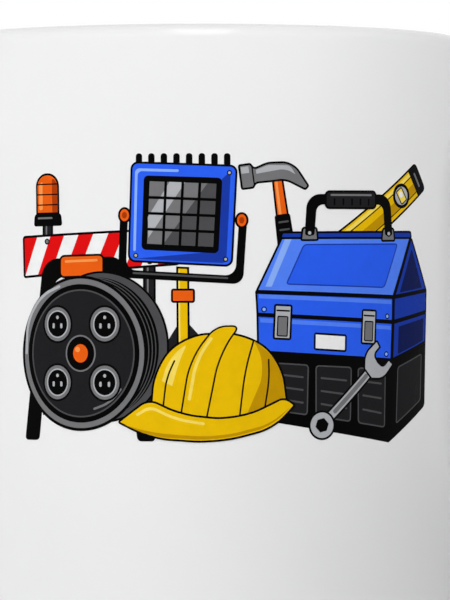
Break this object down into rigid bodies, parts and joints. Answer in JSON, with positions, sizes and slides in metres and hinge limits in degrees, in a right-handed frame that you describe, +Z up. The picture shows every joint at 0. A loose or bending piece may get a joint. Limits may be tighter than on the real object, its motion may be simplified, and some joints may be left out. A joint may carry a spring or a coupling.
{
  "type": "printed ceramic mug",
  "caption": "Straight-sided drinking mug of white glazed ceramic, with an ear handle on the right and a printed picture wrapped round the front of its wall.",
  "frame": {"origin": "on the vessel's axis, in the plane that its foot ring stands on", "axes": "+Z up along the vessel's axis, +X towards the handle, -Y the side with the print"},
  "size_m": [0.116, 0.0821, 0.095],
  "materials": {
    "glaze": "clear gloss glaze over a white body",
    "print": "fired transfer inks under a gloss cover coat"
  },
  "bodies": {
    "root": {"mug_body": "glaze", "mug_handle": "glaze", "print_transfer": "print"}
  },
  "joints": []
}
